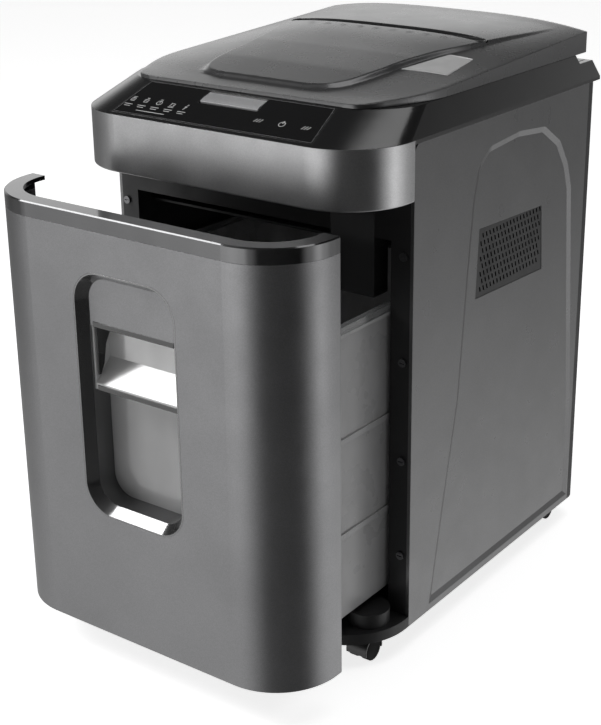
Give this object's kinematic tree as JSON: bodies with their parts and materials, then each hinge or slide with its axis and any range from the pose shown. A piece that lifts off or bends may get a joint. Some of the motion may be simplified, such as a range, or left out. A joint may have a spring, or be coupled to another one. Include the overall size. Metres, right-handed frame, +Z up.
{
  "type": "paper shredder",
  "caption": "Tall auto-feed paper shredder on casters with a windowed pull-out bin drawer, sloped touch panel and rear-hinged lid.",
  "frame": {"origin": "on the floor, under the middle of the whole machine's footprint as it stands with the drawer partly open", "axes": "+X to the user's right across the front, +Y from the drawer towards the rear cover, +Z up"},
  "size_m": [0.354, 0.54, 0.5597],
  "materials": {
    "dark_frame": "textured",
    "liner": "textured",
    "satin_grey": "satin metallic paint",
    "gloss_black": "polished",
    "lid_satin": "satin",
    "latch_silver": "satin metallic paint",
    "clear": "clear plastic",
    "bin_grey": "semi-gloss",
    "rim_clear": "translucent",
    "steel": "plated",
    "cutter_steel": "ground and oiled",
    "screw_steel": "black zinc",
    "bush_brass": "turned",
    "motor_metal": "plated can",
    "nylon": "moulded",
    "rubber": "ground",
    "board": "lacquered",
    "inlet_black": "moulded",
    "caster_black": "moulded",
    "wheel_black": "moulded"
  },
  "bodies": {
    "chassis": {"base_plate": "dark_frame", "rear_cover": "dark_frame", "cover_screws": "screw_steel", "front_frame": "dark_frame", "frame_screws": "screw_steel", "sensor_housing": "dark_frame", "bay_liner": "liner", "slide_rails": "steel", "head_band": "satin_grey", "deck_cover": "gloss_black", "control_panel": "gloss_black", "feed_tray": "dark_frame", "lid_hinge_rod": "steel", "cutter_plates": "steel", "bearing_bushes": "bush_brass", "tie_rods": "steel", "stripper_bars": "steel", "gear_pins": "steel", "motor_can": "motor_metal", "power_board": "board", "mains_inlet": "inlet_black", "rocker_bezel": "dark_frame", "side_panel_left": "satin_grey", "side_panel_right": "satin_grey", "side_grilles": "dark_frame"},
    "drawer": {"drawer_front": "satin_grey", "drawer_cap": "gloss_black", "drawer_frame": "inlet_black", "window_bezel": "gloss_black", "grip_plate": "satin_grey", "finger_scoop": "gloss_black", "window_pane": "clear", "bin_shell": "bin_grey", "bin_rim": "rim_clear", "slide_runners": "inlet_black"},
    "lid": {"lid_shell": "lid_satin", "lid_window": "clear", "throat_guide": "lid_satin"},
    "pressure_plate": {"pressure_plate": "inlet_black", "pressure_pads": "rubber"},
    "latch": {"latch_tab": "latch_silver"},
    "rear_cutter": {"rear_cutter": "cutter_steel", "final_gear": "nylon"},
    "front_cutter": {"front_cutter": "cutter_steel"},
    "pickup_roller": {"feed_shaft": "steel", "feed_tyres": "rubber"},
    "idler": {"idler_gear": "nylon"},
    "reduction": {"compound_gear": "nylon"},
    "motor": {"motor_rotor": "steel"},
    "rocker": {"power_rocker": "inlet_black"},
    "swivel_front_left": {"caster_hood_front_left": "caster_black"},
    "wheels_front_left": {"caster_wheels_front_left": "wheel_black"},
    "swivel_front_right": {"caster_hood_front_right": "caster_black"},
    "wheels_front_right": {"caster_wheels_front_right": "wheel_black"},
    "swivel_rear_left": {"caster_hood_rear_left": "caster_black"},
    "wheels_rear_left": {"caster_wheels_rear_left": "wheel_black"},
    "swivel_rear_right": {"caster_hood_rear_right": "caster_black"},
    "wheels_rear_right": {"caster_wheels_rear_right": "wheel_black"}
  },
  "joints": [
    {"name": "drawer_slide", "type": "slide", "parent": "chassis", "child": "drawer", "axis": [0, -1, 0], "range_m": [-0.1135, 0.14]},
    {"name": "lid_hinge", "type": "hinge", "parent": "chassis", "child": "lid", "pos_m": [0, 0.253, 0.536], "axis": [-1, 0, 0], "range_deg": [0, 75]},
    {"name": "pressure_hinge", "type": "hinge", "parent": "lid", "child": "pressure_plate", "pos_m": [0, -0.022, 0.526], "axis": [1, 0, 0], "range_deg": [0, 4], "stiffness_Nm_per_rad": 2, "springref_deg": -9.74},
    {"name": "latch_press", "type": "hinge", "parent": "chassis", "child": "latch", "pos_m": [0, -0.11, 0.5125], "axis": [1, 0, 0], "range_deg": [0, 7], "stiffness_Nm_per_rad": 0.15, "springref_deg": -11.46},
    {"name": "mains_rocker", "type": "hinge", "parent": "chassis", "child": "rocker", "pos_m": [-0.141, 0.263, 0.462], "axis": [1, 0, 0], "range_deg": [-7, 7]},
    {"name": "rear_cutter_spin", "type": "hinge", "parent": "chassis", "child": "rear_cutter", "pos_m": [0, 0.15, 0.455], "axis": [1, 0, 0], "continuous": true},
    {"name": "front_cutter_spin", "type": "hinge", "parent": "chassis", "child": "front_cutter", "pos_m": [0, 0.112, 0.455], "axis": [1, 0, 0], "continuous": true},
    {"name": "roller_spin", "type": "hinge", "parent": "chassis", "child": "pickup_roller", "pos_m": [0, 0.103, 0.49602], "axis": [1, 0, 0], "continuous": true},
    {"name": "idler_spin", "type": "hinge", "parent": "chassis", "child": "idler", "pos_m": [0, 0.08138, 0.46978], "axis": [1, 0, 0], "continuous": true},
    {"name": "reduction_spin", "type": "hinge", "parent": "chassis", "child": "reduction", "pos_m": [0, 0.19933, 0.43704], "axis": [1, 0, 0], "continuous": true},
    {"name": "motor_spin", "type": "hinge", "parent": "chassis", "child": "motor", "pos_m": [0, 0.23626, 0.43053], "axis": [1, 0, 0], "continuous": true},
    {"name": "swivel_front_left", "type": "hinge", "parent": "chassis", "child": "swivel_front_left", "pos_m": [-0.146, -0.109, 0.03], "axis": [0, 0, 1], "continuous": true},
    {"name": "roll_front_left", "type": "hinge", "parent": "swivel_front_left", "child": "wheels_front_left", "pos_m": [-0.146, -0.117, 0.0115], "axis": [1, 0, 0], "continuous": true},
    {"name": "swivel_front_right", "type": "hinge", "parent": "chassis", "child": "swivel_front_right", "pos_m": [0.146, -0.109, 0.03], "axis": [0, 0, 1], "continuous": true},
    {"name": "roll_front_right", "type": "hinge", "parent": "swivel_front_right", "child": "wheels_front_right", "pos_m": [0.146, -0.117, 0.0115], "axis": [1, 0, 0], "continuous": true},
    {"name": "swivel_rear_left", "type": "hinge", "parent": "chassis", "child": "swivel_rear_left", "pos_m": [-0.146, 0.244, 0.03], "axis": [0, 0, 1], "continuous": true},
    {"name": "roll_rear_left", "type": "hinge", "parent": "swivel_rear_left", "child": "wheels_rear_left", "pos_m": [-0.146, 0.236, 0.0115], "axis": [1, 0, 0], "continuous": true},
    {"name": "swivel_rear_right", "type": "hinge", "parent": "chassis", "child": "swivel_rear_right", "pos_m": [0.146, 0.244, 0.03], "axis": [0, 0, 1], "continuous": true},
    {"name": "roll_rear_right", "type": "hinge", "parent": "swivel_rear_right", "child": "wheels_rear_right", "pos_m": [0.146, 0.236, 0.0115], "axis": [1, 0, 0], "continuous": true}
  ],
  "couplings": [
    {"joint": "front_cutter_spin", "follows": "rear_cutter_spin", "ratio": -1},
    {"joint": "idler_spin", "follows": "rear_cutter_spin", "ratio": 1.2667},
    {"joint": "roller_spin", "follows": "rear_cutter_spin", "ratio": -1},
    {"joint": "reduction_spin", "follows": "rear_cutter_spin", "ratio": -4},
    {"joint": "motor_spin", "follows": "rear_cutter_spin", "ratio": 16}
  ]
}
